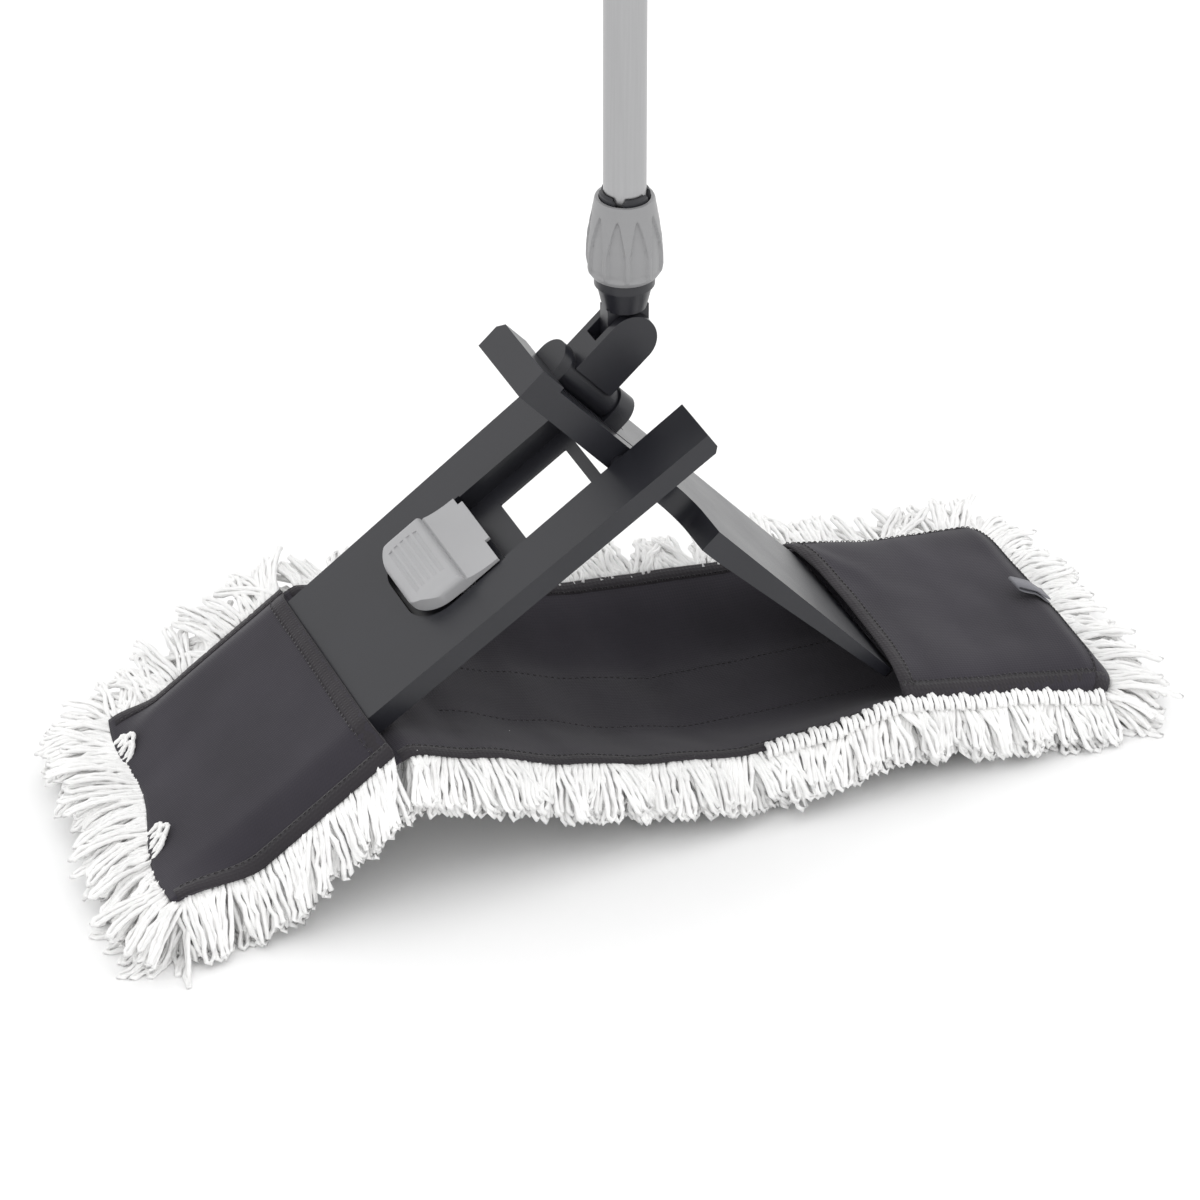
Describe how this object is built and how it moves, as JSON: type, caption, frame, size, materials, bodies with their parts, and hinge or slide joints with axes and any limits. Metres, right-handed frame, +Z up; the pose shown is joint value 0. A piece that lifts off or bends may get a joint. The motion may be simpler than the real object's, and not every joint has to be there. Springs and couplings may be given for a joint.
{
  "type": "flat mop",
  "caption": "Flat mop with a folding pocket frame, foot pedal release, looped cotton cover with two pockets and an upright tubular handle on a two-axis joint.",
  "frame": {"origin": "on the floor, under the middle of the cover's outline", "axes": "+X along the mop towards the free end of the frame, +Z up, user on the -Y side"},
  "size_m": [0.63, 0.254, 1.3867],
  "materials": {
    "dark_plastic": "fine moulded texture",
    "grey_plastic": "smooth moulded",
    "pale_plastic": "smooth moulded",
    "aluminium": "satin anodised",
    "steel": "satin",
    "cloth": "woven polyester",
    "yarn": "looped cotton yarn",
    "tag": "woven tape"
  },
  "bodies": {
    "cover": {"base_cloth": "cloth", "pile_right": "yarn", "fringe_right_near": "yarn", "fringe_right_far": "yarn", "fringe_right_end": "yarn", "right_pocket": "cloth", "label_tag": "tag"},
    "span": {"span_cloth": "cloth", "pile_span": "yarn", "fringe_span_near": "yarn", "fringe_span_far": "yarn"},
    "left_half": {"left_frame_half": "dark_plastic", "fold_pin_near": "steel", "fold_pin_far": "steel", "fold_washer_near": "dark_plastic", "fold_washer_far": "dark_plastic", "pedal_pin": "steel", "pedal_spring": "steel", "left_pocket": "cloth", "pile_left": "yarn", "fringe_left_near": "yarn", "fringe_left_far": "yarn", "fringe_left_end": "yarn"},
    "right_half": {"right_frame_half": "dark_plastic", "link_pin": "steel"},
    "pedal": {"foot_pedal": "pale_plastic"},
    "link": {"swivel_link": "dark_plastic", "knuckle_pin": "steel"},
    "socket": {"handle_socket": "dark_plastic"},
    "collar": {"collar_nut": "grey_plastic"},
    "handle": {"handle_tube": "aluminium", "handle_grip": "dark_plastic", "handle_end_cap": "grey_plastic"}
  },
  "joints": [
    {"name": "left_tilt", "type": "hinge", "parent": "cover", "child": "left_half", "pos_m": [-0.2381, 0, 0.0291], "axis": [0, 1, 0], "range_deg": [-10, 34.8], "deforming": ["left_pocket", "pile_left", "fringe_left_near", "fringe_left_far", "fringe_left_end", "span_cloth", "pile_span", "fringe_span_near", "fringe_span_far", "base_cloth", "right_pocket", "label_tag", "pile_right", "fringe_right_near", "fringe_right_far", "fringe_right_end"]},
    {"name": "span_lift", "type": "hinge", "parent": "cover", "child": "span", "pos_m": [0.04, 0, 0.02], "axis": [0, 1, 0], "range_deg": [-18.7, 5.5]},
    {"name": "fold", "type": "hinge", "parent": "left_half", "child": "right_half", "pos_m": [0, 0, 0.1947], "axis": [0, 1, 0], "range_deg": [-82.41, 23.68]},
    {"name": "pedal_press", "type": "hinge", "parent": "left_half", "child": "pedal", "pos_m": [-0.08221, 0, 0.13951], "axis": [0, 1, 0], "range_deg": [-7, 0], "stiffness_Nm_per_rad": 1.2, "springref_deg": 6.88},
    {"name": "link_swing", "type": "hinge", "parent": "right_half", "child": "link", "pos_m": [-0.01034, 0, 0.23049], "axis": [0.6743, 0, -0.7385], "range_deg": [-58, 58]},
    {"name": "handle_tilt", "type": "hinge", "parent": "link", "child": "socket", "pos_m": [0.01477, 0, 0.25342], "axis": [0, 1, 0], "range_deg": [-36, 95]},
    {"name": "collar_twist", "type": "hinge", "parent": "socket", "child": "collar", "pos_m": [0.01477, 0, 0.25342], "axis": [0, 0, 1], "range_deg": [-90, 0]},
    {"name": "tube_slide", "type": "slide", "parent": "socket", "child": "handle", "axis": [0, 0, 1], "range_m": [0, 0.06]}
  ],
  "couplings": [
    {"joint": "fold", "follows": "left_tilt", "ratio": -2.368},
    {"joint": "span_lift", "follows": "left_tilt", "ratio": -0.537}
  ]
}
